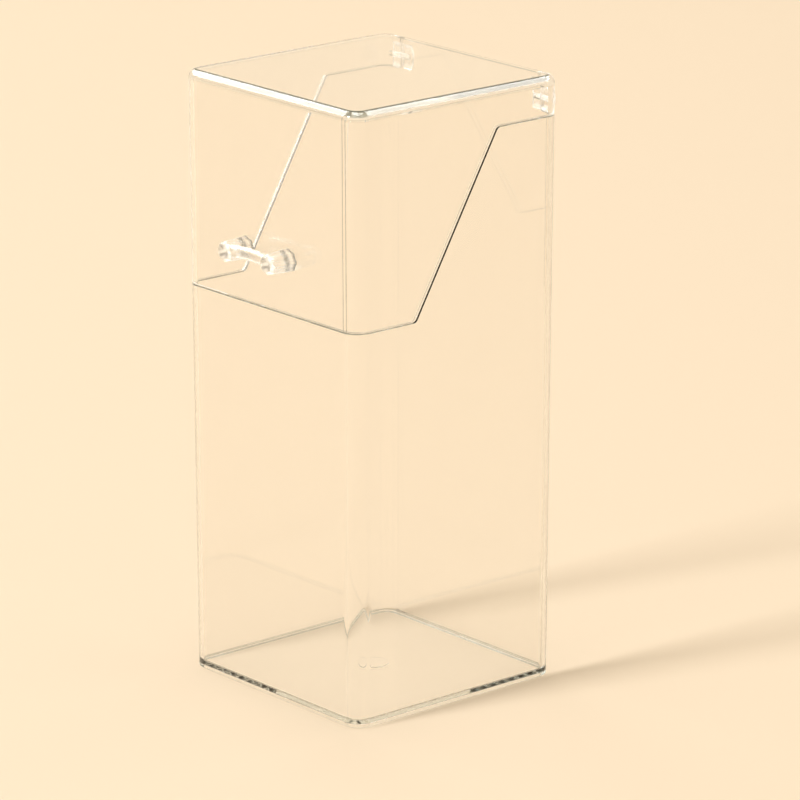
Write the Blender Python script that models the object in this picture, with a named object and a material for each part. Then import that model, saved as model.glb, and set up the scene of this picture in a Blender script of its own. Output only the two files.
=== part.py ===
"""Tall clear box with a flip-up lid for makeup brushes.

The box is an open square tube with a floor. The lid covers its top and the upper front, and its
lower edge drops along a slant on both sides. Two pins in the back wall carry the lid. The front
faces -Y and the lid opens towards +Y. The origin lies on the table under the middle of the whole
reach from handle to hinge.
"""

import math

import bmesh
import bpy

# Outer shape shared by box and lid: square in plan, a little wider at the top
TOTAL_HEIGHT = 0.210
TOP_SIDE = 0.090
DRAFT = 0.0009
CORNER_RADIUS = 0.0065
TOP_EDGE_RADIUS = 0.003
BASE_EDGE_RADIUS = 0.0008

# Moulded thicknesses, inside corners and fillets
WALL = 0.0021
FLOOR = 0.0012
ROOF = 0.0025
INNER_RADIUS = 0.0042
FLOOR_FILLET = 0.0008
ROOF_FILLET = 0.0012

# Rim that the box stands on, round the recess under its floor
BASE_RIM = 0.0012
RECESS_FILLET = 0.0004

# Mark of the moulding gate, a low round pad on the floor
GATE_RADIUS = 0.005
GATE_HEIGHT = 0.00025

# Parting line between box and lid, seen from the side
LID_FRONT_HEIGHT = 0.0737
LID_REAR_HEIGHT = 0.0134
LID_FOOT_LENGTH = 0.026
LID_SLANT_RUN = 0.0352
SPLIT_RADIUS = 0.002
SPLIT_GAP = 0.0004

# Hinge knuckles on the back wall, one pair at each side
KNUCKLE_SIDE_INSET = 0.0048
KNUCKLE_LENGTH = 0.0048
KNUCKLE_GAP = 0.0003
KNUCKLE_DEPTH = 0.0032
KNUCKLE_PROUD = 0.0015
KNUCKLE_OVERLAP = 0.0004
KNUCKLE_HEADROOM = 0.0024
KNUCKLE_EDGE_RADIUS = 0.0007
NOTCH_RADIUS = 0.0012

# Back tab of the box and its clearances under the roof
SWING_CLEARANCE = 0.0003
ROOF_RELIEF = 0.0003

# Hinge pins
PIN_DIAMETER = 0.002
PIN_CLEARANCE = 0.00005
PIN_END_WALL = 0.001
PIN_END_GAP = 0.0002
PIN_CHAMFER = 0.0002

# Handle on the lid's front: two fluted knobs and a bowed bar
KNOB_WIDTH = 0.0088
KNOB_HEIGHT = 0.0080
KNOB_LENGTH = 0.0102
KNOB_SPACING = 0.0220
KNOB_EDGE_RADIUS = 0.0022
KNOB_TAPER = 0.0004
FLUTE_DEPTH = 0.0004
HANDLE_RISE = 0.0188
HANDLE_GAP = 0.0003
BAR_HEIGHT = 0.0042
BAR_DEPTH = 0.0030
BAR_SETBACK = 0.0009
BAR_BOW = 0.0011
BAR_FLARE = 0.0007

# How far cutters run past what they cut
OVERRUN = 0.005

# Facet counts
CORNER_STEPS = 10
FILLET_STEPS = 5
BEND_STEPS = 5
ROUND_STEPS = 32
KNOB_FLUTES = 8
FLUTE_STEPS = 6
BAR_STEPS = 12
SMOOTH_ANGLE = math.radians(32)

# Levels and places that follow from the sizes above
HALF_TOP = TOP_SIDE / 2
FLOOR_TOP = BASE_RIM + FLOOR
ROOF_UNDERSIDE = TOTAL_HEIGHT - ROOF
FRONT_SPLIT = TOTAL_HEIGHT - LID_FRONT_HEIGHT
REAR_SPLIT = TOTAL_HEIGHT - LID_REAR_HEIGHT
SLANT_FOOT = -HALF_TOP + LID_FOOT_LENGTH
SLANT_HEAD = SLANT_FOOT + LID_SLANT_RUN
SLANT_ANGLE = math.atan2(REAR_SPLIT - FRONT_SPLIT, LID_SLANT_RUN)


def half_side(height):
    """Half the outer width at a height above the base."""
    return HALF_TOP - DRAFT * (TOTAL_HEIGHT - height) / TOTAL_HEIGHT


# Hinge: the knuckles reach from just under the parting line to the headroom below the roof
KNUCKLE_FOOT = REAR_SPLIT + SPLIT_GAP / 2 - KNUCKLE_OVERLAP
KNUCKLE_HEAD = ROOF_UNDERSIDE - KNUCKLE_HEADROOM
HINGE_HEIGHT = (KNUCKLE_FOOT + KNUCKLE_HEAD) / 2
HINGE_BACK = half_side(HINGE_HEIGHT) + KNUCKLE_PROUD - KNUCKLE_DEPTH / 2
LID_KNUCKLE_END = HALF_TOP - KNUCKLE_SIDE_INSET
LID_KNUCKLE_START = LID_KNUCKLE_END - KNUCKLE_LENGTH
BOX_KNUCKLE_END = LID_KNUCKLE_START - KNUCKLE_GAP
BOX_KNUCKLE_START = BOX_KNUCKLE_END - KNUCKLE_LENGTH
BORE_RADIUS = PIN_DIAMETER / 2 + PIN_CLEARANCE
BORE_START = BOX_KNUCKLE_START + PIN_END_WALL

# The tab's inner top corner stays inside the circle that the roof's underside swings round
TAB_INNER_REACH = HINGE_BACK - half_side(HINGE_HEIGHT) + WALL
TAB_SWING_RADIUS = ROOF_UNDERSIDE - HINGE_HEIGHT - SWING_CLEARANCE
TAB_TOP = HINGE_HEIGHT + math.sqrt(TAB_SWING_RADIUS ** 2 - TAB_INNER_REACH ** 2)

# The handle stands on the lid's front face
HANDLE_HEIGHT = FRONT_SPLIT + HANDLE_RISE
FACE_LEAN = math.atan2(DRAFT, TOTAL_HEIGHT)

# Place of the box's own middle, with handle and hinge reaching equally far from the origin
KNOB_END_RISE = KNOB_HEIGHT / 2 - KNOB_TAPER - KNOB_EDGE_RADIUS
HANDLE_REACH = KNOB_LENGTH * math.cos(FACE_LEAN) + KNOB_END_RISE * math.sin(FACE_LEAN)
FRONT_REACH = half_side(HANDLE_HEIGHT) + HANDLE_REACH
REAR_REACH = half_side(HINGE_HEIGHT) + KNUCKLE_PROUD
BOX_MIDDLE = (FRONT_REACH - REAR_REACH) / 2


def clear_scene():
    """Start from an empty scene."""
    for item in list(bpy.data.objects):
        bpy.data.objects.remove(item, do_unlink=True)


def clear_plastic(name, tint):
    """Clear, glossy injection-moulded plastic."""
    material = bpy.data.materials.new(name)
    material.use_nodes = True
    shader = material.node_tree.nodes["Principled BSDF"]
    shader.inputs["Base Color"].default_value = tint
    shader.inputs["Roughness"].default_value = 0.04
    shader.inputs["Metallic"].default_value = 0.0
    shader.inputs["IOR"].default_value = 1.58
    shader.inputs["Transmission Weight"].default_value = 1.0
    shader.inputs["Alpha"].default_value = 0.35
    material.diffuse_color = tint
    return material


def loft(name, rings):
    """One closed body skinned over equal rings of points, with a flat cap at each end."""
    builder = bmesh.new()
    loops = [[builder.verts.new(point) for point in ring] for ring in rings]
    for near, far in zip(loops, loops[1:]):
        for index in range(len(near)):
            following = (index + 1) % len(near)
            builder.faces.new((near[index], near[following], far[following], far[index]))
    builder.faces.new(reversed(loops[0]))
    builder.faces.new(loops[-1])
    bmesh.ops.recalc_face_normals(builder, faces=builder.faces)
    mesh = bpy.data.meshes.new(name)
    builder.to_mesh(mesh)
    builder.free()
    mesh.shade_smooth()
    mesh.set_sharp_from_angle(angle=SMOOTH_ANGLE)
    body = bpy.data.objects.new(name, mesh)
    bpy.context.scene.collection.objects.link(body)
    return body


def as_cutter(body):
    """Keep a helper shape out of the finished model."""
    body.hide_render = True
    body.display_type = "WIRE"
    return body


def combine(body, helper, operation):
    """Join a helper shape to a body, or cut it away."""
    step = body.modifiers.new(helper.name, "BOOLEAN")
    step.operation = operation
    step.solver = "EXACT"
    step.object = as_cutter(helper)


def fillet_steps(radius):
    """Pairs of inset and rise along a quarter-round edge, from the flat end to the side."""
    if radius == 0:
        return [(0, 0)]
    pairs = []
    for step in range(FILLET_STEPS + 1):
        angle = math.pi / 2 * step / FILLET_STEPS
        pairs.append((radius * (1 - math.sin(angle)), radius * (1 - math.cos(angle))))
    return pairs


def rounded_square(half, radius, height):
    """Points round a square with rounded corners, at one height."""
    centre = half - radius
    points = []
    for quarter in range(4):
        turn = quarter * math.pi / 2
        centre_x = math.copysign(centre, math.cos(turn + math.pi / 4))
        centre_y = math.copysign(centre, math.sin(turn + math.pi / 4))
        for step in range(CORNER_STEPS + 1):
            angle = turn + math.pi / 2 * step / CORNER_STEPS
            x = centre_x + radius * math.cos(angle)
            y = centre_y + radius * math.sin(angle)
            points.append((x, y, height))
    return points


def tapered_rings(low, high, inset, corner, low_radius, high_radius):
    """Square sections a set distance inside the outer faces, with rounded end edges."""
    levels = [(low + rise, drawn) for drawn, rise in fillet_steps(low_radius)]
    levels += [(high - rise, drawn) for drawn, rise in reversed(fillet_steps(high_radius))]
    return [
        rounded_square(half_side(height) - inset - drawn, corner - drawn, height)
        for height, drawn in levels
    ]


def bend(corner, before, after, radius):
    """Points of the arc that rounds the corner of a path in its own plane."""
    start = math.atan2(before[1] - corner[1], before[0] - corner[0])
    end = math.atan2(after[1] - corner[1], after[0] - corner[0])
    spread = (end - start + math.pi) % (2 * math.pi) - math.pi
    middle = start + spread / 2
    centre_distance = radius / math.sin(abs(spread) / 2)
    centre = (
        corner[0] + centre_distance * math.cos(middle),
        corner[1] + centre_distance * math.sin(middle),
    )
    sweep = math.copysign(math.pi - abs(spread), spread)
    points = []
    for step in range(BEND_STEPS + 1):
        angle = middle + math.pi - sweep * (step / BEND_STEPS - 1 / 2)
        points.append((centre[0] + radius * math.cos(angle), centre[1] + radius * math.sin(angle)))
    return points


def parting_path(offset, rear_end):
    """Side view of the parting line as (y, z), moved towards the lid by an offset."""
    shift_y = -offset * math.tan(SLANT_ANGLE / 2)
    front = (-HALF_TOP - OVERRUN, FRONT_SPLIT + offset)
    foot = (SLANT_FOOT + shift_y, FRONT_SPLIT + offset)
    head = (SLANT_HEAD + shift_y, REAR_SPLIT + offset)
    rear = (rear_end, REAR_SPLIT + offset)
    rounded_foot = bend(foot, front, head, SPLIT_RADIUS)
    rounded_head = bend(head, foot, rear, SPLIT_RADIUS)
    return [front] + rounded_foot + rounded_head + [rear]


def prism_across(name, outline):
    """A (y, z) outline run straight across the box and past both of its sides."""
    reach = HALF_TOP + OVERRUN
    rings = [[(x, y, z) for y, z in outline] for x in (-reach, reach)]
    return loft(name, rings)


def prism_along(name, outline, near, far):
    """An (x, z) outline run straight from near to far in Y."""
    rings = [[(x, y, z) for x, z in outline] for y in (near, far)]
    return loft(name, rings)


def oval(x, half_depth, half_height):
    """Oval section round the hinge axis."""
    points = []
    for step in range(ROUND_STEPS):
        angle = 2 * math.pi * step / ROUND_STEPS
        y = HINGE_BACK + half_depth * math.cos(angle)
        z = HINGE_HEIGHT + half_height * math.sin(angle)
        points.append((x, y, z))
    return points


def knuckle(name, side, start, end, rounded_start, rounded_end):
    """Oval hinge knuckle from start to end along the axis, on one side of the box."""
    half_depth = KNUCKLE_DEPTH / 2
    half_height = (KNUCKLE_HEAD - KNUCKLE_FOOT) / 2
    first = fillet_steps(rounded_start)
    last = list(reversed(fillet_steps(rounded_end)))
    places = [(start + rise, drawn) for drawn, rise in first]
    places += [(end - rise, drawn) for drawn, rise in last]
    rings = [oval(side * x, half_depth - drawn, half_height - drawn) for x, drawn in places]
    return loft(name, rings)


def round_bar(name, side, start, end, radius, chamfer):
    """Round bar on the hinge axis, with chamfered ends where a chamfer is given."""
    places = [(start, radius - chamfer)]
    if chamfer > 0:
        places += [(start + chamfer, radius), (end - chamfer, radius)]
    places.append((end, radius - chamfer))
    return loft(name, [oval(side * x, size, size) for x, size in places])


def side_name(side):
    """Word for the left (-X) or right (+X) side."""
    return "left" if side < 0 else "right"


def shoulder_outline(side):
    """Space above the box's rear corner, as (x, z), with a fillet at the foot of the tab."""
    floor_level = REAR_SPLIT - SPLIT_GAP / 2
    reach = HALF_TOP + OVERRUN
    inner = BOX_KNUCKLE_END
    corner = bend(
        (inner, floor_level), (inner, TOTAL_HEIGHT), (reach, floor_level), NOTCH_RADIUS + KNUCKLE_GAP
    )
    points = [(inner, TOTAL_HEIGHT + OVERRUN)] + corner
    points += [(reach, floor_level), (reach, TOTAL_HEIGHT + OVERRUN)]
    return [(side * x, z) for x, z in points]


def tab_outline():
    """Space in the lid's back wall for the box's tab, as (x, z), with rounded lower corners."""
    edge = LID_KNUCKLE_START
    level = REAR_SPLIT + SPLIT_GAP / 2
    ceiling = ROOF_UNDERSIDE + ROOF_RELIEF
    below = level - OVERRUN
    rounding = []
    for step in range(BEND_STEPS + 1):
        angle = math.pi + math.pi / 2 * step / BEND_STEPS
        x = edge + NOTCH_RADIUS + NOTCH_RADIUS * math.cos(angle)
        z = level + NOTCH_RADIUS + NOTCH_RADIUS * math.sin(angle)
        rounding.append((x, z))
    right = [(edge, ceiling)] + rounding + [(edge + NOTCH_RADIUS, below)]
    left = [(-x, z) for x, z in reversed(right)]
    return right + left


def bore(owner, side):
    """Cutter for the pin's bore, blind in the box and open at the lid's outer corner."""
    name = f"{owner}_bore_{side_name(side)}"
    return round_bar(name, side, BORE_START, HALF_TOP + OVERRUN, BORE_RADIUS, 0)


def make_box():
    """Open box with its back tab, knuckles and gate mark."""
    box = loft("storage_box", tapered_rings(0, TAB_TOP, 0, CORNER_RADIUS, BASE_EDGE_RADIUS, 0))
    for side in (-1, 1):
        name = f"box_knuckle_{side_name(side)}"
        start = KNUCKLE_EDGE_RADIUS
        combine(box, knuckle(name, side, BOX_KNUCKLE_START, BOX_KNUCKLE_END, start, 0), "UNION")
    cavity = tapered_rings(FLOOR_TOP, TAB_TOP + OVERRUN, WALL, INNER_RADIUS, FLOOR_FILLET, 0)
    combine(box, loft("box_cavity", cavity), "DIFFERENCE")
    recess = tapered_rings(-OVERRUN, BASE_RIM, WALL, INNER_RADIUS, 0, RECESS_FILLET)
    combine(box, loft("box_recess", recess), "DIFFERENCE")
    inside_back = HALF_TOP - CORNER_RADIUS
    opening = parting_path(-SPLIT_GAP / 2, inside_back)
    opening += [(inside_back, TOTAL_HEIGHT + OVERRUN), (-HALF_TOP - OVERRUN, TOTAL_HEIGHT + OVERRUN)]
    combine(box, prism_across("box_opening", opening), "DIFFERENCE")
    for side in (-1, 1):
        name = f"box_shoulder_{side_name(side)}"
        near = inside_back - OVERRUN
        far = HALF_TOP + KNUCKLE_PROUD + OVERRUN
        combine(box, prism_along(name, shoulder_outline(side), near, far), "DIFFERENCE")
        combine(box, bore("box", side), "DIFFERENCE")
    combine(box, make_gate_mark(), "UNION")
    box.data.materials.append(clear_plastic("clear_box", (0.98, 0.97, 0.95, 1.0)))
    return box


def make_gate_mark():
    """Low round pad in the middle of the floor."""
    rings = []
    for height in (FLOOR_TOP - FLOOR / 2, FLOOR_TOP + GATE_HEIGHT):
        ring = []
        for step in range(ROUND_STEPS):
            angle = 2 * math.pi * step / ROUND_STEPS
            ring.append((GATE_RADIUS * math.cos(angle), GATE_RADIUS * math.sin(angle), height))
        rings.append(ring)
    return loft("gate_mark", rings)


def make_lid():
    """Flip-up lid with its slanted sides and the outer knuckles."""
    low = FRONT_SPLIT - OVERRUN
    lid = loft("flip_lid", tapered_rings(low, TOTAL_HEIGHT, 0, CORNER_RADIUS, 0, TOP_EDGE_RADIUS))
    helpers = []
    for side in (-1, 1):
        name = f"lid_knuckle_{side_name(side)}"
        shape = knuckle(name, side, LID_KNUCKLE_START, LID_KNUCKLE_END, 0, KNUCKLE_EDGE_RADIUS)
        helpers.append((shape, "UNION"))
    cavity = tapered_rings(low - OVERRUN, ROOF_UNDERSIDE, WALL, INNER_RADIUS, 0, ROOF_FILLET)
    helpers.append((loft("lid_cavity", cavity), "DIFFERENCE"))
    rear = HALF_TOP + KNUCKLE_PROUD + OVERRUN
    under = parting_path(SPLIT_GAP / 2, rear)
    under += [(rear, low - OVERRUN), (-HALF_TOP - OVERRUN, low - OVERRUN)]
    helpers.append((prism_across("lid_underside", under), "DIFFERENCE"))
    near = HALF_TOP - WALL - ROOF_FILLET - SWING_CLEARANCE
    helpers.append((prism_along("lid_tab_space", tab_outline(), near, rear), "DIFFERENCE"))
    for side in (-1, 1):
        helpers.append((bore("lid", side), "DIFFERENCE"))
    for helper, operation in helpers:
        combine(lid, helper, operation)
    lid.data.materials.append(clear_plastic("clear_lid", (0.98, 0.97, 0.95, 1.0)))
    return lid, [helper for helper, operation in helpers]


def knob_ring(centre_x, outward, inset):
    """Fluted oval section of a knob, at a distance outward from the lid's face."""
    points = []
    count = KNOB_FLUTES * FLUTE_STEPS
    for step in range(count):
        angle = 2 * math.pi * step / count
        dip = inset + FLUTE_DEPTH * (1 - math.cos(KNOB_FLUTES * angle)) / 2
        x = centre_x + (KNOB_WIDTH / 2 - dip) * math.cos(angle)
        z = (KNOB_HEIGHT / 2 - dip) * math.sin(angle)
        points.append((x, -outward, z))
    return points


def make_knob(name, centre_x):
    """Fluted knob, drawn in towards a rounded front edge."""
    rings = [knob_ring(centre_x, HANDLE_GAP, 0)]
    for drawn, rise in reversed(fillet_steps(KNOB_EDGE_RADIUS)):
        rings.append(knob_ring(centre_x, KNOB_LENGTH - rise, KNOB_TAPER + drawn))
    return loft(name, rings)


def make_bar(name):
    """Bar between the knobs, bowed upwards and flared at both ends."""
    half_span = KNOB_SPACING / 2
    centre_y = -(KNOB_LENGTH - BAR_SETBACK - BAR_DEPTH / 2)
    rings = []
    for step in range(BAR_STEPS + 1):
        share = 2 * step / BAR_STEPS - 1
        flare = BAR_FLARE * share ** 4
        rise = BAR_BOW * (1 - share ** 2)
        ring = []
        for corner in range(ROUND_STEPS):
            angle = 2 * math.pi * corner / ROUND_STEPS
            y = centre_y + (BAR_DEPTH / 2 + flare) * math.cos(angle)
            z = rise + (BAR_HEIGHT / 2 + flare) * math.sin(angle)
            ring.append((half_span * share, y, z))
        rings.append(ring)
    return loft(name, rings)


def make_handle():
    """Pull handle, built on its own base plane and stood on the lid's leaning front face."""
    handle = make_knob("pull_handle", -KNOB_SPACING / 2)
    helpers = [make_bar("handle_bar"), make_knob("handle_knob_right", KNOB_SPACING / 2)]
    for piece in [handle] + helpers:
        piece.location = (0, -half_side(HANDLE_HEIGHT), HANDLE_HEIGHT)
        piece.rotation_euler = (FACE_LEAN, 0, 0)
    for helper in helpers:
        combine(handle, helper, "UNION")
    handle.data.materials.append(clear_plastic("clear_handle", (0.97, 0.97, 0.96, 1.0)))
    return handle, helpers


def make_pin(side):
    """Clear hinge pin that runs from the box's knuckle through the lid's."""
    start = BORE_START + PIN_END_GAP
    name = f"hinge_pin_{side_name(side)}"
    pin = round_bar(name, side, start, LID_KNUCKLE_END, PIN_DIAMETER / 2, PIN_CHAMFER)
    pin.data.materials.append(clear_plastic(f"clear_pin_{side_name(side)}", (0.95, 0.95, 0.94, 1.0)))
    return pin


def hang_on_hinge(pieces):
    """Parent the lid's pieces to an empty on the hinge axis, where they are."""
    axis = bpy.data.objects.new("lid_hinge_axis", None)
    axis.location = (0, HINGE_BACK, HINGE_HEIGHT)
    bpy.context.scene.collection.objects.link(axis)
    bpy.context.view_layer.update()
    for piece in pieces:
        piece.parent = axis
        piece.matrix_parent_inverse = axis.matrix_world.inverted()


def place_over_origin():
    """Move everything back, so that handle and hinge reach equally far from the origin."""
    for item in bpy.data.objects:
        if item.parent is None:
            item.location.y += BOX_MIDDLE


def build():
    """Make every piece."""
    clear_scene()
    make_box()
    lid, lid_helpers = make_lid()
    handle, handle_helpers = make_handle()
    for side in (-1, 1):
        make_pin(side)
    hang_on_hinge([lid, handle] + lid_helpers + handle_helpers)
    place_over_origin()


build()
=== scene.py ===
"""Looks of a tall clear box with a flip-up lid, for makeup brushes.

Each piece is one clear moulding with softened edges. The box and the lid are lofted from rings
whose upper or lower edge follows the parting line. All lengths are in metres, +Z is up, and the
front with the handle faces -Y.
"""

import math

import bmesh
import bpy
from mathutils import Matrix, Vector


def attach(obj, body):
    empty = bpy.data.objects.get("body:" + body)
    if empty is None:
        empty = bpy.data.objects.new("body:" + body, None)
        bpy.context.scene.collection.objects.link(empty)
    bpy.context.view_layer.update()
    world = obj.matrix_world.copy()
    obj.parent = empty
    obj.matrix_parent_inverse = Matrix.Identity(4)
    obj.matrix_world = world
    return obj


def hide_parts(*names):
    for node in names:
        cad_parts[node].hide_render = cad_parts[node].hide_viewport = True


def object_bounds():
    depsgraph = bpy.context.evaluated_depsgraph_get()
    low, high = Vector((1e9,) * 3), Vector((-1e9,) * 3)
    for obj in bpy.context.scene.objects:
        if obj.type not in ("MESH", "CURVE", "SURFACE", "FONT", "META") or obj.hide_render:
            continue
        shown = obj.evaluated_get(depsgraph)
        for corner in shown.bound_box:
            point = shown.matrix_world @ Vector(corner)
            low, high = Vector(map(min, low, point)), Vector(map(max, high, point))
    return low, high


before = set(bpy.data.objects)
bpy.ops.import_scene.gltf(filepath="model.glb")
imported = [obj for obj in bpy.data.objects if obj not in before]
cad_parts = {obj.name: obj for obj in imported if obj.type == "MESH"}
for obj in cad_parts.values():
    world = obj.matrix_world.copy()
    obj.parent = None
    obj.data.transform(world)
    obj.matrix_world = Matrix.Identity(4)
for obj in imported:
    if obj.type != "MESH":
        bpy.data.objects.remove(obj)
cad_low, cad_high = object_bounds()

# Outer shape shared by box and lid
TOTAL_HEIGHT = cad_high[2]
HALF_TOP = 0.045
DRAFT = 0.0009
CORNER_RADIUS = 0.0065
TOP_EDGE_RADIUS = 0.003
BASE_EDGE_RADIUS = 0.0008

# Moulded thicknesses, inside corners and fillets, and the softening of the cut edges
WALL = 0.0021
FLOOR = 0.0012
ROOF = 0.0025
INNER_RADIUS = 0.0042
BASE_RIM = 0.0012
FLOOR_FILLET = 0.0008
RECESS_FILLET = 0.0004
ROOF_FILLET = 0.0012
RIM_RADIUS = 0.0001
GATE_RADIUS = 0.005
GATE_HEIGHT = 0.00025

# Parting line
LID_FRONT_HEIGHT = 0.0737
LID_REAR_HEIGHT = 0.0134
LID_FOOT_LENGTH = 0.026
LID_SLANT_RUN = 0.0352
SPLIT_RADIUS = 0.002
SPLIT_GAP = 0.0004
SLANT_GAP_EXTRA = 0.0002

# Hinge
KNUCKLE_SIDE_INSET = 0.0048
KNUCKLE_LENGTH = 0.0048
KNUCKLE_GAP = 0.0003
KNUCKLE_DEPTH = 0.0032
KNUCKLE_PROUD = 0.0015
KNUCKLE_OVERLAP = 0.0004
KNUCKLE_HEADROOM = 0.0024
KNUCKLE_EDGE_RADIUS = 0.0007
KNUCKLE_SETBACK = 0.0003
KNUCKLE_END_RADIUS = 0.0003
NOTCH_RADIUS = 0.0012
TAB_CORNER_RADIUS = 0.0005
SWING_CLEARANCE = 0.0003
ROOF_RELIEF = 0.0003
PIN_DIAMETER = 0.002
PIN_CLEARANCE = 0.00005
PIN_END_WALL = 0.001
PIN_END_GAP = 0.0002
PIN_CHAMFER = 0.0002

# Handle
KNOB_WIDTH = 0.0088
KNOB_HEIGHT = 0.0080
KNOB_LENGTH = 0.0102
KNOB_SPACING = 0.0220
KNOB_EDGE_RADIUS = 0.0022
KNOB_TAPER = 0.0004
FLUTE_DEPTH = 0.0004
HANDLE_RISE = 0.0188
HANDLE_GAP = 0.0003
BAR_HEIGHT = 0.0042
BAR_DEPTH = 0.0030
BAR_SETBACK = 0.0009
BAR_BOW = 0.0011
BAR_FLARE = 0.0007

OVERRUN = 0.005

# Wide paper floor, a hair under the box so that the two faces don't coincide
FLOOR_RADIUS = 6.0
FLOOR_DROP = 0.0002
PAPER = (0.991, 0.823, 0.610, 1)
PAPER_ROUGHNESS = 0.9
PAPER_SHEEN = 0.1

# Room: dark to the left and right of the main view, and the light from all round
ROOM_DARK_SIDE = (0.76, 0.65, 0)
ROOM_DARK_START = 0.92
ROOM_DARK_FULL = 0.96
ROOM_DARK = (0.10, 0.085, 0.065, 1)
GLOW_COLOUR = (1, 0.93, 0.84, 1)
ROOM_GLOW = 0.52

# Camera
CAMERA_LENS = 222.9
CAMERA_PLACE = (1.22465, -1.03714, 0.57293)
CAMERA_TARGET = (0.01462, 0, 0.0995)

# Lamps, and cards of light that show only in the rounded edges
KEY_LAMP = {"place": (-0.72, -5.08, 4.0), "target": (0, 0, 0.1), "size": (1.2, 1.2), "power": 300}
BACK_WASH = {"place": (-1.7, 1.0, 1.6), "target": (-0.1, 0.1, 0), "size": (1.2, 1.2), "power": 5}
LEFT_CARD = {"place": (-1.75, -0.30, 1.50), "size": (2.2, 1.0), "power": 45}
BACK_CARD = {"place": (0.30, 1.75, 2.05), "size": (2.8, 1.0), "power": 57}
TOP_CARD = {"place": (0.05, -0.10, 2.20), "size": (1.6, 1.6), "power": 45}
LIGHT_BOUNCES = 64
CLEAR_BOUNCES = 24

# Clear plastic, its depth of colour and the shade that it casts where it is seen edge on
CLEAR = (0.985, 0.98, 0.97, 1)
REFRACTION = 1.58
DEPTH_COLOUR = (0.75, 0.81, 0.80, 1)
DEPTH_DENSITY = 10
NO_SHADE = (1, 1, 1, 1)
EDGE_SHADE = (0.35, 0.33, 0.30, 1)
SHADE_START = 0.6

# Roughness: grain and spread all over, and how far it rises on the matt patches
GLOSS_GRAIN = 60
GLOSS_SPREAD = 0.02
GATE_FROST = 0.1
HANDLE_FROST = 0.16
KNUCKLE_FROST = 0.25
LEFT_RIM_FROST = 0.4

# Painted shade: a contact shadow on the rim that rests on the table, and near-black on the right rim's
# slanted run where light is trapped in the wall
BASE_CONTACT_SHADOW = (0.30, 0.32, 0.28, 1)
SLANT_SHADE = (0.01, 0.01, 0.008, 1)
SLANT_FACING = -0.2

# Painted shade of the dark line where the roof starts to round over, and the upward facing of that stretch
ROOF_EDGE_SHADE = (0.06, 0.08, 0.07, 1)
ROOF_EDGE_FACING = 0.960
ROOF_EDGE_SPREAD = 0.037

# Width and painted shade of the dark upright line where the lid's front meets its right corner
CORNER_LINE = 0.0003
CORNER_LINE_SHADE = (0.25, 0.23, 0.20, 1)
FLAT_FACING = 0.9

# Depth and painted shade of the knobs' darker foot, on their round sides where they meet the lid
KNOB_FOOT = 0.0009
KNOB_FOOT_SHADE = (0.18, 0.20, 0.21, 1)
SIDE_FACING = 0.5

# Facet counts
CORNER_STEPS = 24
FILLET_STEPS = 8
RIM_STEPS = 4
BEND_STEPS = 10
ROUND_STEPS = 64
KNOB_FLUTES = 8
FLUTE_STEPS = 12
BAR_STEPS = 24
FLOOR_STEPS = 96
SMOOTH_ANGLE = math.radians(38)

# Levels and places that follow from the sizes above
QUARTER = math.pi / 2
FLOOR_TOP = BASE_RIM + FLOOR
ROOF_UNDERSIDE = TOTAL_HEIGHT - ROOF
FRONT_SPLIT = TOTAL_HEIGHT - LID_FRONT_HEIGHT
REAR_SPLIT = TOTAL_HEIGHT - LID_REAR_HEIGHT
SLANT_FOOT = -HALF_TOP + LID_FOOT_LENGTH
SLANT_HEAD = SLANT_FOOT + LID_SLANT_RUN
SLANT_ANGLE = math.atan2(REAR_SPLIT - FRONT_SPLIT, LID_SLANT_RUN)


def half_side(height):
    """Half the outer width at a height above the base."""
    return HALF_TOP - DRAFT * (TOTAL_HEIGHT - height) / TOTAL_HEIGHT


KNUCKLE_FOOT = REAR_SPLIT + SPLIT_GAP / 2 - KNUCKLE_OVERLAP
KNUCKLE_HEAD = ROOF_UNDERSIDE - KNUCKLE_HEADROOM
HINGE_HEIGHT = (KNUCKLE_FOOT + KNUCKLE_HEAD) / 2
HINGE_BACK = half_side(HINGE_HEIGHT) + KNUCKLE_PROUD - KNUCKLE_DEPTH / 2
LID_KNUCKLE_END = HALF_TOP - KNUCKLE_SIDE_INSET
LID_KNUCKLE_START = LID_KNUCKLE_END - KNUCKLE_LENGTH
BOX_KNUCKLE_END = LID_KNUCKLE_START - KNUCKLE_GAP
BOX_KNUCKLE_START = BOX_KNUCKLE_END - KNUCKLE_LENGTH
BORE_RADIUS = PIN_DIAMETER / 2 + PIN_CLEARANCE
BORE_START = BOX_KNUCKLE_START + PIN_END_WALL
TAB_INNER_REACH = HINGE_BACK - half_side(HINGE_HEIGHT) + WALL
TAB_SWING_RADIUS = ROOF_UNDERSIDE - HINGE_HEIGHT - SWING_CLEARANCE
TAB_TOP = HINGE_HEIGHT + math.sqrt(TAB_SWING_RADIUS ** 2 - TAB_INNER_REACH ** 2)
HANDLE_HEIGHT = FRONT_SPLIT + HANDLE_RISE
FACE_LEAN = math.atan2(DRAFT, TOTAL_HEIGHT)

# Place of the box's own middle, with handle and hinge reaching equally far from the origin
BOX_MIDDLE = cad_high[1] - half_side(HINGE_HEIGHT) - KNUCKLE_PROUD


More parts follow.
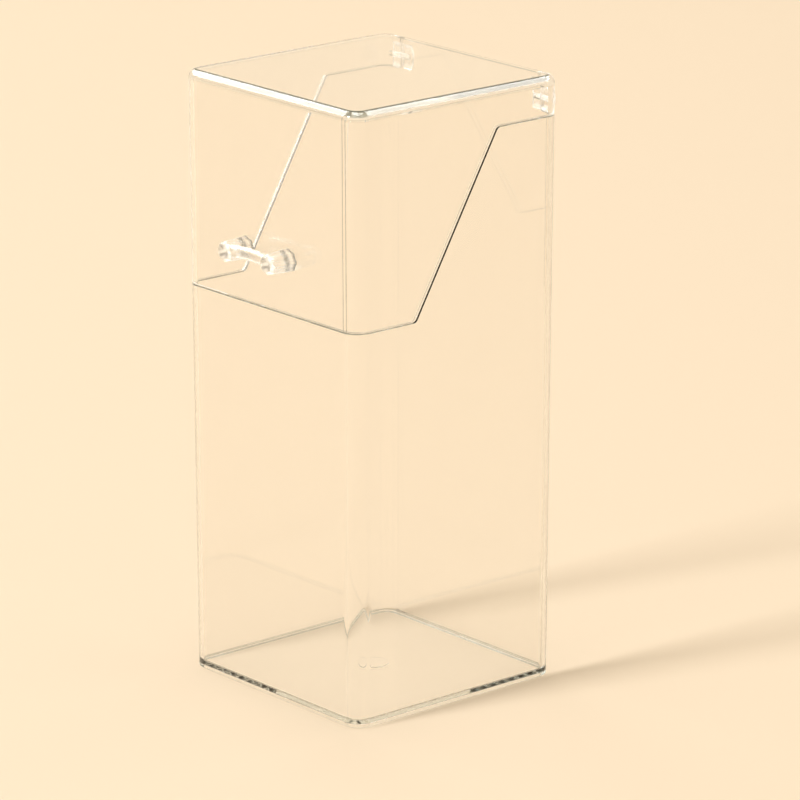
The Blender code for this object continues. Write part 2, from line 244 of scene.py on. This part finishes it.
class Column:
    """One upright line of a shell's wall, ending at the parting edge.

    In a corner it stands at an angle. On a flat face it stands at a distance across the face,
    and out is the direction out of the material at its end, across the face and up.
    """

    def __init__(self, turn, level, out, corner=None, across=None, foot=None):
        self.turn = turn
        self.level = level
        self.out = out
        self.corner = corner
        self.across = across
        self.foot = across if foot is None else foot

    def point(self, height, inset, across):
        """Place on the wall at a height, a distance inside its outer face."""
        reach = half_side(height) - inset
        if self.corner is None:
            x = reach * math.cos(self.turn) - across * math.sin(self.turn)
            y = reach * math.sin(self.turn) + across * math.cos(self.turn)
            return (x, y, height)
        outer = inset <= WALL / 2
        radius = CORNER_RADIUS - inset if outer else INNER_RADIUS + WALL - inset
        x = math.copysign(reach - radius, math.cos(self.corner))
        y = math.copysign(reach - radius, math.sin(self.corner))
        return (x + radius * math.cos(self.turn), y + radius * math.sin(self.turn), height)

    def at(self, height, inset):
        """Point of a level ring."""
        return self.point(height, inset, self.foot)

    def at_edge(self, drop, inset):
        """Point of a ring that follows the parting edge, drawn back into the material."""
        height = self.level - self.out[1] * drop
        across = None if self.across is None else self.across - self.out[0] * drop
        return self.point(height, inset, across)


def bend(corner, before, after, radius):
    """Points that round the corner of a path, each with the direction to the path's left."""
    turn = after - before
    side = math.copysign(1, turn)
    back = radius * math.tan(abs(turn) / 2)
    start = (corner[0] - back * math.cos(before), corner[1] - back * math.sin(before))
    centre = (start[0] - side * radius * math.sin(before), start[1] + side * radius * math.cos(before))
    points = []
    for step in range(BEND_STEPS + 1):
        angle = before + turn * step / BEND_STEPS
        left = (-math.sin(angle), math.cos(angle))
        place = (centre[0] - side * radius * left[0], centre[1] - side * radius * left[1])
        points.append((place, left))
    return points


def slant_path(offset):
    """Rounded foot and head of the slant as seen from +X, moved towards the lid by an offset."""
    widened = math.copysign(SLANT_GAP_EXTRA / 2, offset) / math.sin(SLANT_ANGLE)
    shift = -offset * math.tan(SLANT_ANGLE / 2) - widened
    foot = (SLANT_FOOT + shift, FRONT_SPLIT + offset)
    head = (SLANT_HEAD + shift, REAR_SPLIT + offset)
    return bend(foot, 0, SLANT_ANGLE, SPLIT_RADIUS) + bend(head, SLANT_ANGLE, 0, SPLIT_RADIUS)


def wall_columns(offset, outward, rear):
    """Columns all round a shell: four corners, two slanted sides and the rear face's own."""
    levels = [REAR_SPLIT + offset, REAR_SPLIT + offset, FRONT_SPLIT + offset, FRONT_SPLIT + offset]
    path = slant_path(offset)
    right = [Column(0, z, (outward * n[0], outward * n[1]), across=y) for (y, z), n in path]
    left = [
        Column(math.pi, z, (-outward * n[0], outward * n[1]), across=-y)
        for (y, z), n in reversed(path)
    ]
    faces = [rear, left, [], right]
    columns = []
    for quarter in range(4):
        for step in range(CORNER_STEPS + 1):
            angle = (quarter + step / CORNER_STEPS) * QUARTER
            middle = (quarter + 1 / 2) * QUARTER
            columns.append(Column(angle, levels[quarter], (0, outward), corner=middle))
        columns += faces[quarter]
    return columns


def tab_columns():
    """Columns of the box's rear face, where the tab rises between the hinges."""
    level = REAR_SPLIT - SPLIT_GAP / 2
    edge = BOX_KNUCKLE_END
    notch = NOTCH_RADIUS + KNUCKLE_GAP
    half = [(place, left, place[0]) for place, left in bend((-edge, level), 0, QUARTER, notch)]
    top = bend((-edge, TAB_TOP), QUARTER, 0, TAB_CORNER_RADIUS)
    for step, (place, left) in enumerate(top):
        foot = -edge + TAB_CORNER_RADIUS * (step + 1) / (BEND_STEPS + 1)
        half.append((place, left, foot))
    columns = [Column(QUARTER, p[1], n, across=p[0], foot=foot) for p, n, foot in half]
    columns += [
        Column(QUARTER, p[1], (-n[0], n[1]), across=-p[0], foot=-foot)
        for p, n, foot in reversed(half)
    ]
    return columns


def fillet_steps(radius, count):
    """Pairs of inset and rise along a quarter-round edge, from the flat end to the side."""
    pairs = []
    for step in range(count + 1):
        angle = QUARTER * step / count
        pairs.append((radius * (1 - math.sin(angle)), radius * (1 - math.cos(angle))))
    return pairs


def rim_rings(columns):
    """Rings over the rounded rim, from the outer face to the inner face."""
    rounding = fillet_steps(RIM_RADIUS, RIM_STEPS)
    outer = [[c.at_edge(drop, inset) for c in columns] for inset, drop in reversed(rounding)]
    inner = [[c.at_edge(drop, WALL - inset) for c in columns] for inset, drop in rounding]
    return outer + inner


def loft(name, rings):
    """One closed body skinned over equal rings of points, with a flat cap at each end."""
    builder = bmesh.new()
    loops = [[builder.verts.new(point) for point in ring] for ring in rings]
    for near, far in zip(loops, loops[1:]):
        for index in range(len(near)):
            following = (index + 1) % len(near)
            builder.faces.new((near[index], near[following], far[following], far[index]))
    builder.faces.new(reversed(loops[0]))
    builder.faces.new(loops[-1])
    bmesh.ops.remove_doubles(builder, verts=builder.verts, dist=1e-7)
    bmesh.ops.recalc_face_normals(builder, faces=builder.faces)
    mesh = bpy.data.meshes.new(name)
    builder.to_mesh(mesh)
    builder.free()
    body = bpy.data.objects.new(name, mesh)
    bpy.context.scene.collection.objects.link(body)
    return body


def combine(body, helpers):
    """Join helper shapes to a body or cut them away, and keep only the result."""
    for helper, operation in helpers:
        step = body.modifiers.new(helper.name, "BOOLEAN")
        step.operation = operation
        step.solver = "MANIFOLD"
        step.object = helper
    finished = body.evaluated_get(bpy.context.evaluated_depsgraph_get())
    mesh = bpy.data.meshes.new_from_object(finished)
    body.modifiers.clear()
    body.data = mesh
    for helper, operation in helpers:
        bpy.data.objects.remove(helper, do_unlink=True)


def smooth(body):
    """Shade the round stretches smooth and keep the flat ones flat."""
    body.data.shade_smooth()
    body.data.set_sharp_from_angle(angle=SMOOTH_ANGLE)
    step = body.modifiers.new("flat_faces_lead", "WEIGHTED_NORMAL")
    step.mode = "FACE_AREA"
    step.weight = 100
    step.keep_sharp = True


def oval(x, half_depth, half_height):
    """Oval section round the hinge axis."""
    points = []
    for step in range(ROUND_STEPS):
        angle = 2 * math.pi * step / ROUND_STEPS
        y = HINGE_BACK + half_depth * math.cos(angle)
        z = HINGE_HEIGHT + half_height * math.sin(angle)
        points.append((x, y, z))
    return points


def knuckle(name, side, start, end, rounded_start, rounded_end):
    """Oval hinge knuckle from start to end along the axis, on one side of the box."""
    half_depth = KNUCKLE_DEPTH / 2
    half_height = (KNUCKLE_HEAD - KNUCKLE_FOOT) / 2
    first = fillet_steps(rounded_start, FILLET_STEPS) if rounded_start > 0 else [(0, 0)]
    last = fillet_steps(rounded_end, FILLET_STEPS) if rounded_end > 0 else [(0, 0)]
    places = [(start + rise, drawn) for drawn, rise in first]
    places += [(end - rise, drawn) for drawn, rise in reversed(last)]
    rings = [oval(side * x, half_depth - drawn, half_height - drawn) for x, drawn in places]
    return loft(name, rings)


def round_bar(name, side, start, end, radius, chamfer):
    """Round bar on the hinge axis, with chamfered ends where a chamfer is given."""
    places = [(start, radius - chamfer)]
    if chamfer > 0:
        places += [(start + chamfer, radius), (end - chamfer, radius)]
    places.append((end, radius - chamfer))
    return loft(name, [oval(side * x, size, size) for x, size in places])


def side_name(side):
    """Word for the left (-X) or right (+X) side."""
    return "left" if side < 0 else "right"


def bore(side):
    """Cutter for a pin's bore, blind in the box and open at the lid's outer corner."""
    return round_bar("bore", side, BORE_START, HALF_TOP + OVERRUN, BORE_RADIUS, 0)


def make_box():
    """Open box with its back tab, knuckles and gate mark."""
    columns = wall_columns(-SPLIT_GAP / 2, 1, tab_columns())
    base = fillet_steps(BASE_EDGE_RADIUS, FILLET_STEPS)
    floor = fillet_steps(FLOOR_FILLET, FILLET_STEPS)
    recess = fillet_steps(RECESS_FILLET, FILLET_STEPS)
    foot = fillet_steps(RIM_RADIUS, RIM_STEPS)
    rings = [[c.at(BASE_RIM - rise, WALL + drawn) for c in columns] for drawn, rise in recess]
    rings += [[c.at(rise, WALL - drawn) for c in columns] for drawn, rise in reversed(foot)]
    rings += [[c.at(rise, drawn) for c in columns] for drawn, rise in base]
    rings += rim_rings(columns)
    rings += [[c.at(FLOOR_TOP + rise, WALL + drawn) for c in columns] for drawn, rise in reversed(floor)]
    box = loft("clear_box_shell", rings)
    helpers = [(gate_mark(), "UNION")]
    for side in (-1, 1):
        end = BOX_KNUCKLE_END - KNUCKLE_SETBACK
        rounding = (KNUCKLE_EDGE_RADIUS, KNUCKLE_END_RADIUS)
        shape = knuckle("knuckle", side, BOX_KNUCKLE_START, end, *rounding)
        helpers.append((shape, "UNION"))
        helpers.append((bore(side), "DIFFERENCE"))
    combine(box, helpers)
    smooth(box)
    return box


def gate_mark():
    """Low round pad in the middle of the floor."""
    rings = []
    for height in (FLOOR_TOP - FLOOR / 2, FLOOR_TOP + GATE_HEIGHT):
        ring = []
        for step in range(ROUND_STEPS):
            angle = 2 * math.pi * step / ROUND_STEPS
            ring.append((GATE_RADIUS * math.cos(angle), GATE_RADIUS * math.sin(angle), height))
        rings.append(ring)
    return loft("gate_mark", rings)


def tab_space():
    """Cutter for the space that the box's tab fills in the lid's back wall."""
    edge = LID_KNUCKLE_START
    level = REAR_SPLIT + SPLIT_GAP / 2
    ceiling = ROOF_UNDERSIDE + ROOF_RELIEF
    below = level - OVERRUN
    rounding = []
    for step in range(BEND_STEPS + 1):
        angle = math.pi + QUARTER * step / BEND_STEPS
        x = edge + NOTCH_RADIUS + NOTCH_RADIUS * math.cos(angle)
        z = level + NOTCH_RADIUS + NOTCH_RADIUS * math.sin(angle)
        rounding.append((x, z))
    right = [(edge, ceiling)] + rounding + [(edge + NOTCH_RADIUS, below)]
    outline = right + [(-x, z) for x, z in reversed(right)]
    near = HALF_TOP - WALL - ROOF_FILLET - SWING_CLEARANCE
    far = HALF_TOP + KNUCKLE_PROUD + OVERRUN
    return loft("tab_space", [[(x, y, z) for x, z in outline] for y in (near, far)])


def make_lid():
    """Flip-up lid with its slanted sides and the outer knuckles."""
    columns = wall_columns(SPLIT_GAP / 2, -1, [])
    top = fillet_steps(TOP_EDGE_RADIUS, FILLET_STEPS)
    roof = fillet_steps(ROOF_FILLET, FILLET_STEPS)
    rings = [[c.at(TOTAL_HEIGHT - rise, drawn) for c in columns] for drawn, rise in top]
    rings += rim_rings(columns)
    rings += [[c.at(ROOF_UNDERSIDE - rise, WALL + drawn) for c in columns] for drawn, rise in reversed(roof)]
    lid = loft("clear_lid_shell", rings)
    helpers = []
    for side in (-1, 1):
        shape = knuckle("knuckle", side, LID_KNUCKLE_START, LID_KNUCKLE_END, 0, KNUCKLE_EDGE_RADIUS)
        helpers.append((shape, "UNION"))
    helpers.append((tab_space(), "DIFFERENCE"))
    for side in (-1, 1):
        helpers.append((bore(side), "DIFFERENCE"))
    combine(lid, helpers)
    smooth(lid)
    return lid


def knob_ring(centre_x, outward, inset, depth):
    """Fluted oval section of a knob, at a distance outward from the lid's face."""
    points = []
    count = KNOB_FLUTES * FLUTE_STEPS
    for step in range(count):
        angle = 2 * math.pi * step / count
        dip = inset + depth * (1 - math.cos(KNOB_FLUTES * angle)) / 2
        x = centre_x + (KNOB_WIDTH / 2 - dip) * math.cos(angle)
        z = (KNOB_HEIGHT / 2 - dip) * math.sin(angle)
        points.append((x, -outward, z))
    return points


def make_knob(name, centre_x):
    """Fluted knob, drawn in towards a rounded front edge."""
    rings = [knob_ring(centre_x, HANDLE_GAP, 0, FLUTE_DEPTH)]
    for drawn, rise in reversed(fillet_steps(KNOB_EDGE_RADIUS, FILLET_STEPS)):
        depth = FLUTE_DEPTH * (1 - drawn / KNOB_EDGE_RADIUS) ** 2
        rings.append(knob_ring(centre_x, KNOB_LENGTH - rise, KNOB_TAPER + drawn, depth))
    return loft(name, rings)


def make_bar():
    """Bar between the knobs, bowed upwards and flared at both ends."""
    half_span = KNOB_SPACING / 2
    centre_y = -(KNOB_LENGTH - BAR_SETBACK - BAR_DEPTH / 2)
    rings = []
    for step in range(BAR_STEPS + 1):
        share = 2 * step / BAR_STEPS - 1
        flare = BAR_FLARE * share ** 4
        rise = BAR_BOW * (1 - share ** 2)
        ring = []
        for corner in range(ROUND_STEPS):
            angle = 2 * math.pi * corner / ROUND_STEPS
            y = centre_y + (BAR_DEPTH / 2 + flare) * math.cos(angle)
            z = rise + (BAR_HEIGHT / 2 + flare) * math.sin(angle)
            ring.append((half_span * share, y, z))
        rings.append(ring)
    return loft("bar", rings)


def make_handle():
    """Pull handle, built on its own base plane and stood on the lid's leaning front face."""
    handle = make_knob("clear_pull_handle", -KNOB_SPACING / 2)
    helpers = [(make_bar(), "UNION"), (make_knob("knob", KNOB_SPACING / 2), "UNION")]
    combine(handle, helpers)
    foot = Matrix.Translation((0, -half_side(HANDLE_HEIGHT), HANDLE_HEIGHT))
    handle.data.transform(foot @ Matrix.Rotation(FACE_LEAN, 4, "X"))
    smooth(handle)
    return handle


def make_pin(side):
    """Hinge pin that runs from the box's knuckle through the lid's."""
    start = BORE_START + PIN_END_GAP
    name = f"clear_hinge_pin_{side_name(side)}"
    pin = round_bar(name, side, start, LID_KNUCKLE_END, PIN_DIAMETER / 2, PIN_CHAMFER)
    smooth(pin)
    return pin


def calculate(tree, operation, *values):
    """Output of a math node whose inputs are plain numbers or other nodes' outputs."""
    step = tree.nodes.new("ShaderNodeMath")
    step.operation = operation
    for socket, value in zip(step.inputs, values):
        if isinstance(value, (int, float)):
            socket.default_value = value
        else:
            tree.links.new(value, socket)
    return step.outputs["Value"]


def all_of(tree, *masks):
    """Mask that holds only where each of the given masks does."""
    together = masks[0]
    for mask in masks[1:]:
        together = calculate(tree, "MULTIPLY", together, mask)
    return together


def with_painted_shade(tree, colour, mask, painted_shade):
    """Colour that turns into a painted shade where a mask holds."""
    mix = tree.nodes.new("ShaderNodeMix")
    mix.data_type = "RGBA"
    if isinstance(colour, tuple):
        mix.inputs["A"].default_value = colour
    else:
        tree.links.new(colour, mix.inputs["A"])
    mix.inputs["B"].default_value = painted_shade
    tree.links.new(mask, mix.inputs["Factor"])
    return mix.outputs["Result"]


def frosted(tree, gloss, mask, frost):
    """Roughness that rises by an amount of frost where a mask holds."""
    return calculate(tree, "MULTIPLY_ADD", mask, frost, gloss)


def split_vector(tree, vector):
    """The three parts of a vector: across, deep and up."""
    parts = tree.nodes.new("ShaderNodeSeparateXYZ")
    tree.links.new(vector, parts.inputs["Vector"])
    return parts.outputs["X"], parts.outputs["Y"], parts.outputs["Z"]


def slanted_rim(tree, place, facing, side):
    """Mask of the slanted run of the rims on the left (-1) or right (1) side; the right one gets a painted
    shade, the left one a matt frost.
    """
    leaning = calculate(tree, "MULTIPLY", facing[1], facing[2])
    slanted = calculate(tree, "LESS_THAN", leaning, SLANT_FACING)
    outward = calculate(tree, "MULTIPLY", place[0], side)
    beside = calculate(tree, "GREATER_THAN", outward, HALF_TOP / 2)
    above = calculate(tree, "GREATER_THAN", place[2], FRONT_SPLIT - SPLIT_RADIUS)
    below = calculate(tree, "LESS_THAN", place[2], REAR_SPLIT)
    return all_of(tree, slanted, beside, above, below)


def contact_shadow_rim(tree, place):
    """Mask of the lowest part of the rim under the base, where a contact shadow is painted."""
    return calculate(tree, "LESS_THAN", place[2], BASE_EDGE_RADIUS / 3)


def roof_edge(tree, place, facing):
    """Mask of the line where the roof's front and right edges start to round over, painted as a dark shade
    line.
    """
    start = calculate(tree, "COMPARE", facing[2], ROOF_EDGE_FACING, ROOF_EDGE_SPREAD)
    towards = calculate(tree, "SUBTRACT", facing[0], facing[1])
    near = calculate(tree, "GREATER_THAN", towards, 0)
    top = calculate(tree, "GREATER_THAN", place[2], TOTAL_HEIGHT - TOP_EDGE_RADIUS / 2)
    return all_of(tree, start, near, top)


def corner_line(tree, place, facing):
    """Mask of the upright line where the lid's front meets its right corner, painted as a dark shade line.
    """
    front = calculate(tree, "LESS_THAN", facing[1], -FLAT_FACING)
    start = HALF_TOP - CORNER_RADIUS
    near = calculate(tree, "COMPARE", place[0], start, CORNER_LINE / 2)
    above = calculate(tree, "GREATER_THAN", place[2], FRONT_SPLIT)
    return all_of(tree, front, near, above)


def knuckles(tree, place):
    """Mask of the hinge knuckles on both sides."""
    behind = calculate(tree, "GREATER_THAN", place[1], HALF_TOP - WALL)
    half_height = (KNUCKLE_HEAD - KNUCKLE_FOOT) / 2
    level = calculate(tree, "COMPARE", place[2], HINGE_HEIGHT, half_height)
    middle = (BOX_KNUCKLE_START + LID_KNUCKLE_END) / 2
    outward = calculate(tree, "ABSOLUTE", place[0])
    along = calculate(tree, "COMPARE", outward, middle, LID_KNUCKLE_END - middle)
    return all_of(tree, behind, level, along)


def gate_top(tree, place):
    """Mask of the gate mark's top."""
    flat = tree.nodes.new("ShaderNodeCombineXYZ")
    tree.links.new(place[0], flat.inputs["X"])
    tree.links.new(place[1], flat.inputs["Y"])
    reach = tree.nodes.new("ShaderNodeVectorMath")
    reach.operation = "LENGTH"
    tree.links.new(flat.outputs["Vector"], reach.inputs[0])
    near = calculate(tree, "LESS_THAN", reach.outputs["Value"], GATE_RADIUS)
    top = FLOOR_TOP + GATE_HEIGHT
    level = calculate(tree, "COMPARE", place[2], top, GATE_HEIGHT / 2)
    return all_of(tree, near, level)


def knob_foot(tree, place, facing):
    """Mask of the round sides of the knobs, rising towards their glued foot, where a shade is painted."""
    face = -half_side(HANDLE_HEIGHT)
    depth = tree.nodes.new("ShaderNodeMapRange")
    depth.inputs["From Min"].default_value = face - 2 * KNOB_FOOT
    depth.inputs["From Max"].default_value = face - KNOB_FOOT
    tree.links.new(place[1], depth.inputs["Value"])
    outward = calculate(tree, "ABSOLUTE", facing[1])
    round_side = calculate(tree, "LESS_THAN", outward, SIDE_FACING)
    return all_of(tree, depth.outputs["Result"], round_side)


def uneven_gloss(tree, spot, frost):
    """Roughness that wanders a little above an amount of frost."""
    ripple = tree.nodes.new("ShaderNodeTexNoise")
    ripple.inputs["Scale"].default_value = GLOSS_GRAIN
    tree.links.new(spot, ripple.inputs["Vector"])
    spread = tree.nodes.new("ShaderNodeMapRange")
    spread.inputs["To Min"].default_value = frost
    spread.inputs["To Max"].default_value = frost + GLOSS_SPREAD
    tree.links.new(ripple.outputs["Fac"], spread.inputs["Value"])
    return spread.outputs["Result"]


def let_light_through(tree, surface):
    """Surface that lamps and the light of the room pass, dimmed where it is seen edge on."""
    edge = tree.nodes.new("ShaderNodeLayerWeight")
    edge.inputs["Blend"].default_value = 0.5
    fade = tree.nodes.new("ShaderNodeValToRGB")
    fade.color_ramp.elements[0].position = SHADE_START
    fade.color_ramp.elements[0].color = NO_SHADE
    fade.color_ramp.elements[1].color = EDGE_SHADE
    tree.links.new(edge.outputs["Facing"], fade.inputs["Fac"])
    passing = tree.nodes.new("ShaderNodeBsdfTransparent")
    tree.links.new(fade.outputs["Color"], passing.inputs["Color"])
    ray = tree.nodes.new("ShaderNodeLightPath")
    for kind in ("Is Diffuse Ray", "Is Shadow Ray"):
        mix = tree.nodes.new("ShaderNodeMixShader")
        tree.links.new(ray.outputs[kind], mix.inputs["Fac"])
        tree.links.new(surface, mix.inputs[1])
        tree.links.new(passing.outputs["BSDF"], mix.inputs[2])
        surface = mix.outputs["Shader"]
    return surface


def clear_plastic(name, frost, look=None):
    """Clear moulded plastic. A look adds painted shade lines and matt patches."""
    material = bpy.data.materials.new(name)
    material.use_nodes = True
    tree = material.node_tree
    shader = tree.nodes["Principled BSDF"]
    shader.inputs["Base Color"].default_value = CLEAR
    shader.inputs["IOR"].default_value = REFRACTION
    shader.inputs["Transmission Weight"].default_value = 1.0
    spot = tree.nodes.new("ShaderNodeTexCoord")
    gloss = uneven_gloss(tree, spot.outputs["Object"], frost)
    if look is not None:
        place = split_vector(tree, spot.outputs["Object"])
        facing = split_vector(tree, spot.outputs["Normal"])
        colour, gloss = look(tree, place, facing, gloss)
        tree.links.new(colour, shader.inputs["Base Color"])
    tree.links.new(gloss, shader.inputs["Roughness"])
    output = tree.nodes["Material Output"]
    surface = let_light_through(tree, shader.outputs["BSDF"])
    tree.links.new(surface, output.inputs["Surface"])
    depth = tree.nodes.new("ShaderNodeVolumeAbsorption")
    depth.inputs["Color"].default_value = DEPTH_COLOUR
    depth.inputs["Density"].default_value = DEPTH_DENSITY
    tree.links.new(depth.outputs["Volume"], output.inputs["Volume"])
    return material


def shell_look(tree, place, facing, gloss):
    """Colour, with painted shade lines and a painted contact shadow, and roughness of the box and the lid.
    """
    # Painted shade: near-black on the right rim's slanted run, seen as the dark line in the gap
    colour = with_painted_shade(tree, CLEAR, slanted_rim(tree, place, facing, 1), SLANT_SHADE)
    # Painted shade: a contact shadow on the lowest part of the rim under the base
    colour = with_painted_shade(tree, colour, contact_shadow_rim(tree, place), BASE_CONTACT_SHADOW)
    # Painted shade: a dark line where the roof's near edges start to round over
    colour = with_painted_shade(tree, colour, roof_edge(tree, place, facing), ROOF_EDGE_SHADE)
    # Painted shade: a dark upright line where the lid's front meets its right corner
    colour = with_painted_shade(tree, colour, corner_line(tree, place, facing), CORNER_LINE_SHADE)
    gloss = frosted(tree, gloss, gate_top(tree, place), GATE_FROST)
    gloss = frosted(tree, gloss, slanted_rim(tree, place, facing, -1), LEFT_RIM_FROST)
    gloss = frosted(tree, gloss, knuckles(tree, place), KNUCKLE_FROST)
    return colour, gloss


def handle_look(tree, place, facing, gloss):
    """Colour, with a painted shade at the knobs' foot, and roughness of the handle."""
    # Painted shade: the knobs' round sides darken towards their foot on the lid
    return with_painted_shade(tree, CLEAR, knob_foot(tree, place, facing), KNOB_FOOT_SHADE), gloss


def dress(piece, body, node, material):
    """Give a piece its material and its place in the frame."""
    piece.location.y += BOX_MIDDLE
    piece.data.materials.clear()
    piece.data.materials.append(material)
    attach(piece, body)
    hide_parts(node)


def make_floor():
    """Wide pale floor that fills the view."""
    bpy.ops.mesh.primitive_circle_add(
        vertices=FLOOR_STEPS, radius=FLOOR_RADIUS, fill_type="NGON", location=(0, 0, -FLOOR_DROP)
    )
    floor = bpy.context.active_object
    floor.name = "studio_floor"
    material = bpy.data.materials.new("warm_paper")
    material.use_nodes = True
    shader = material.node_tree.nodes["Principled BSDF"]
    shader.inputs["Base Color"].default_value = PAPER
    shader.inputs["Roughness"].default_value = PAPER_ROUGHNESS
    shader.inputs["Specular IOR Level"].default_value = PAPER_SHEEN
    floor.data.materials.append(material)


def make_world():
    """Warm paper backdrop as the eye and the clear walls see it, and softer light from it."""
    world = bpy.data.worlds.new("soft_room")
    bpy.context.scene.world = world
    world.use_nodes = True
    tree = world.node_tree
    nodes = tree.nodes
    links = tree.links
    place = nodes.new("ShaderNodeTexCoord")
    across = nodes.new("ShaderNodeVectorMath")
    across.operation = "DOT_PRODUCT"
    across.inputs[1].default_value = ROOM_DARK_SIDE
    links.new(place.outputs["Generated"], across.inputs[0])
    ramp = nodes.new("ShaderNodeValToRGB")
    ramp.color_ramp.elements[0].position = ROOM_DARK_START
    ramp.color_ramp.elements[0].color = PAPER
    ramp.color_ramp.elements[1].position = ROOM_DARK_FULL
    ramp.color_ramp.elements[1].color = ROOM_DARK
    links.new(calculate(tree, "ABSOLUTE", across.outputs["Value"]), ramp.inputs["Fac"])
    room = nodes.new("ShaderNodeBackground")
    links.new(ramp.outputs["Color"], room.inputs["Color"])
    glow = nodes["Background"]
    glow.inputs["Color"].default_value = GLOW_COLOUR
    glow.inputs["Strength"].default_value = ROOM_GLOW
    ray = nodes.new("ShaderNodeLightPath")
    mix = nodes.new("ShaderNodeMixShader")
    links.new(ray.outputs["Is Diffuse Ray"], mix.inputs["Fac"])
    links.new(room.outputs["Background"], mix.inputs[1])
    links.new(glow.outputs["Background"], mix.inputs[2])
    links.new(mix.outputs["Shader"], nodes["World Output"].inputs["Surface"])


def aim(thing, target):
    """Turn a camera or lamp towards a point."""
    thing.rotation_euler = (Vector(target) - thing.location).to_track_quat("-Z", "Y").to_euler()


def make_lamp(name, place, target, size, power):
    """Soft lamp of a width and a height."""
    lamp = bpy.data.lights.new(name, "AREA")
    lamp.shape = "RECTANGLE"
    lamp.size, lamp.size_y = size
    lamp.energy = power
    item = bpy.data.objects.new(name, lamp)
    item.location = place
    bpy.context.scene.collection.objects.link(item)
    aim(item, target)
    return item


def make_card(name, place, size, power):
    """Soft light that shows only as a bright band along the rounded edges."""
    card = make_lamp(name, place, (0, 0, TOTAL_HEIGHT), size, power)
    card.visible_diffuse = False
    card.visible_transmission = False


def make_camera():
    """Camera at the main viewing angle, placed from the box's own middle."""
    camera = bpy.data.cameras.new("photo_view")
    camera.lens = CAMERA_LENS
    item = bpy.data.objects.new("photo_view", camera)
    middle = Vector((0, BOX_MIDDLE, 0))
    item.location = Vector(CAMERA_PLACE) + middle
    bpy.context.scene.collection.objects.link(item)
    aim(item, Vector(CAMERA_TARGET) + middle)
    bpy.context.scene.camera = item


make_camera()
make_floor()
make_world()
make_lamp("key_lamp", **KEY_LAMP)
wash = make_lamp("back_wash", **BACK_WASH)
wash.visible_glossy = False
wash.visible_transmission = False
make_card("left_card", **LEFT_CARD)
make_card("back_card", **BACK_CARD)
make_card("top_card", **TOP_CARD)

clear_box = clear_plastic("clear_box", 0, shell_look)
dress(make_box(), "box", "storage_box", clear_box)
clear_lid = clear_plastic("clear_lid", 0, shell_look)
dress(make_lid(), "lid", "flip_lid", clear_lid)
clear_handle = clear_plastic("clear_handle", HANDLE_FROST, handle_look)
dress(make_handle(), "lid", "pull_handle", clear_handle)
for side in (-1, 1):
    clear_pin = clear_plastic(f"clear_pin_{side_name(side)}", KNUCKLE_FROST)
    dress(make_pin(side), "box", f"hinge_pin_{side_name(side)}", clear_pin)

scene = bpy.context.scene
scene.view_settings.view_transform = "Standard"
scene.cycles.max_bounces = LIGHT_BOUNCES
scene.cycles.transmission_bounces = LIGHT_BOUNCES
scene.cycles.glossy_bounces = LIGHT_BOUNCES
scene.cycles.transparent_max_bounces = CLEAR_BOUNCES
